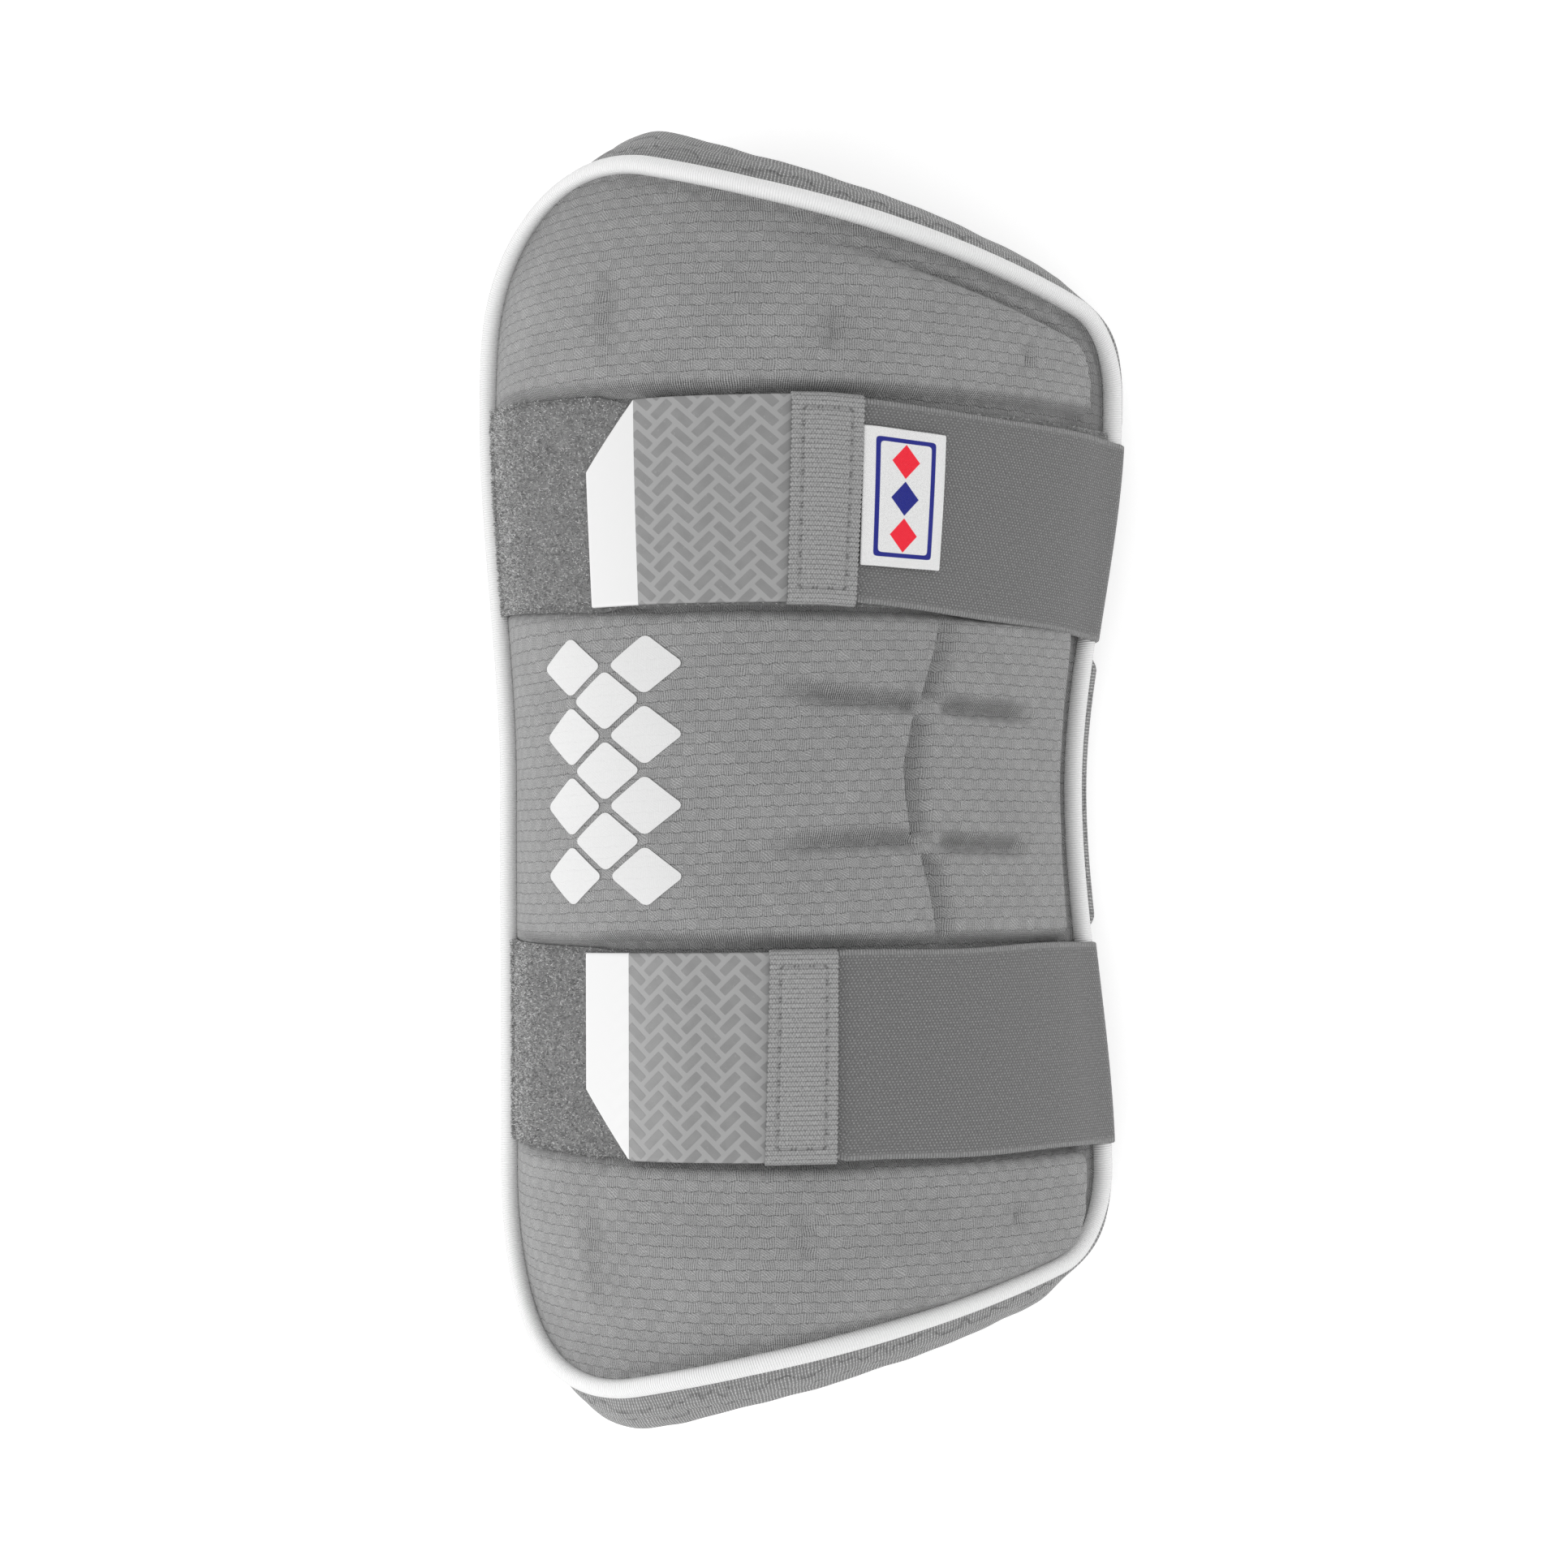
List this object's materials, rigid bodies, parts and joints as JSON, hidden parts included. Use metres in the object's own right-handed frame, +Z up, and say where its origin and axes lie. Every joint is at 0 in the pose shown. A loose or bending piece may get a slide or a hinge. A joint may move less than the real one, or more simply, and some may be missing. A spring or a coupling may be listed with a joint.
{
  "type": "batter's leg guard",
  "caption": "Batter's leg guard: an arched, woven-faced foam shin pad with a piped rim, loop-lined strap channels and elastic straps with pull tabs that close round the leg.",
  "frame": {"origin": "on the floor under the middle of the guard's bounding box, the guard lying with its hollow down", "axes": "+Z up, out of the arched front face; +Y along the leg towards the guard's top end; +X towards the edge that the straps wrap over"},
  "size_m": [0.1738, 0.3274, 0.074],
  "materials": {
    "cover": "matte woven performance cloth over foam",
    "binding": "matte woven edge band",
    "piping": "ribbed white cord piping, slight sheen",
    "loop": "brushed loop pile, dull",
    "elastic": "woven elastic, dull",
    "webbing": "ribbed grosgrain webbing, dull",
    "film": "satin printed film",
    "label": "satin woven label"
  },
  "bodies": {
    "root": {"pad_shell": "cover", "edge_binding": "binding", "piping": "piping", "loop_patch_upper": "loop", "loop_patch_lower": "loop", "strap_upper": "elastic", "strap_lower": "elastic", "strap_sleeve_upper": "webbing", "strap_sleeve_lower": "webbing", "pull_tab_upper": "film", "pull_tab_lower": "film", "woven_label": "label"}
  },
  "joints": []
}
